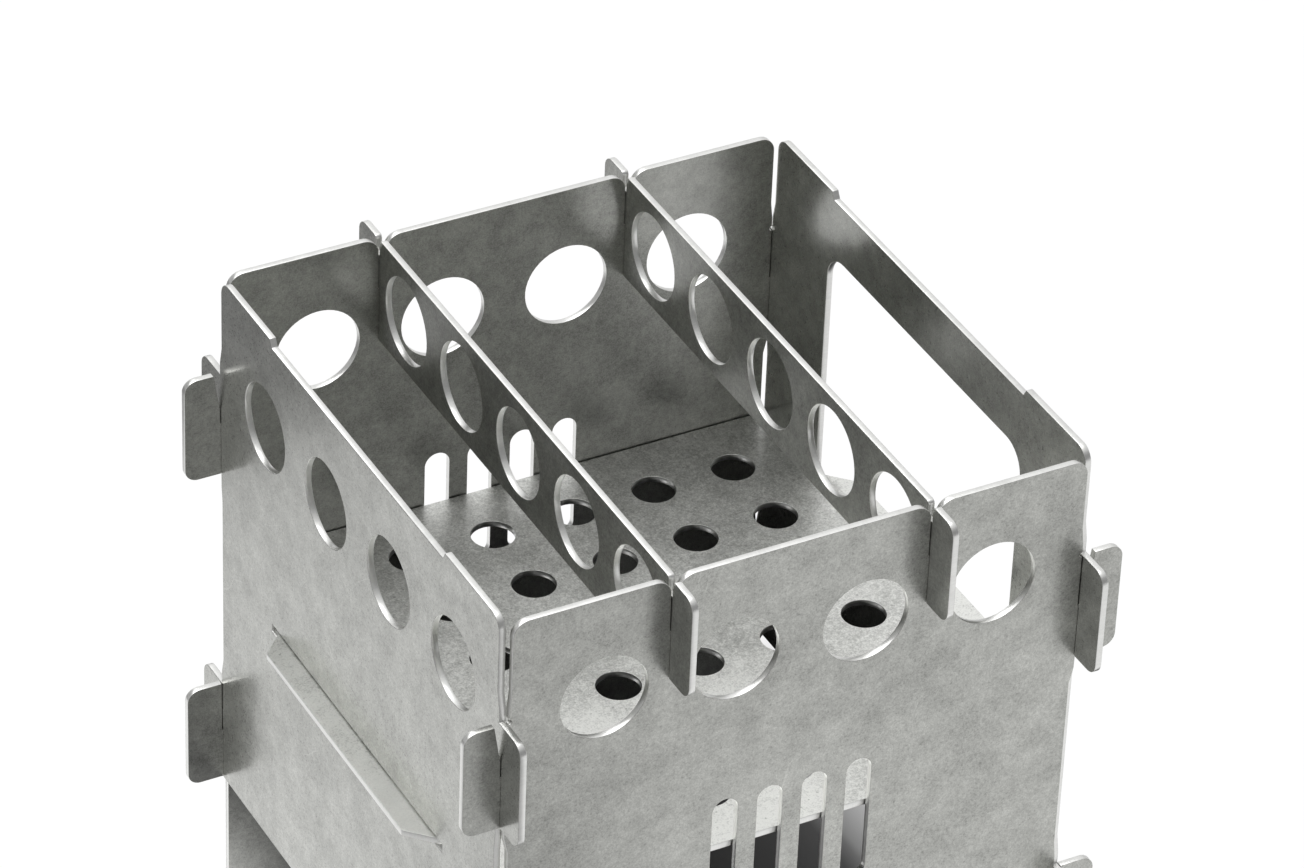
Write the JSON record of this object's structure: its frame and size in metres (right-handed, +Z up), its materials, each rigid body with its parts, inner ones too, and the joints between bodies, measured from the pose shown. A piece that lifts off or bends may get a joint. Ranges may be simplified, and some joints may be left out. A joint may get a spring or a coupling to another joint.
{
  "type": "twig stove",
  "caption": "Flat-pack twig stove: steel panels that slot together at the corners, with air holes, a feed window, a drilled fire grate and lift-off crossbars for the pot.",
  "frame": {"origin": "centre of the footprint, on the ground", "axes": "+Z up, +X out through the feed window, -Y out of the front panel"},
  "size_m": [0.1528, 0.1532, 0.1704],
  "materials": {
    "stainless_sheet": "satin mill finish, bright laser-cut edges"
  },
  "bodies": {
    "frame": {"front_panel": "stainless_sheet", "back_panel": "stainless_sheet"},
    "left_side": {"left_panel": "stainless_sheet"},
    "right_side": {"right_panel": "stainless_sheet"},
    "grate": {"fire_grate": "stainless_sheet"},
    "left_bar": {"left_crossbar": "stainless_sheet"},
    "right_bar": {"right_crossbar": "stainless_sheet"}
  },
  "joints": [
    {"name": "left_panel_lift", "type": "slide", "parent": "frame", "child": "left_side", "axis": [0, 0, 1], "range_m": [0, 0.03]},
    {"name": "right_panel_lift", "type": "slide", "parent": "frame", "child": "right_side", "axis": [0, 0, 1], "range_m": [0, 0.03]},
    {"name": "grate_lift", "type": "slide", "parent": "frame", "child": "grate", "axis": [0, 0, 1], "range_m": [0, 0.03]},
    {"name": "left_bar_lift", "type": "slide", "parent": "frame", "child": "left_bar", "axis": [0, 0, 1], "range_m": [0, 0.04]},
    {"name": "right_bar_lift", "type": "slide", "parent": "frame", "child": "right_bar", "axis": [0, 0, 1], "range_m": [0, 0.04]}
  ],
  "couplings": [
    {"joint": "right_panel_lift", "follows": "left_panel_lift", "ratio": 1},
    {"joint": "grate_lift", "follows": "left_panel_lift", "ratio": 1}
  ]
}
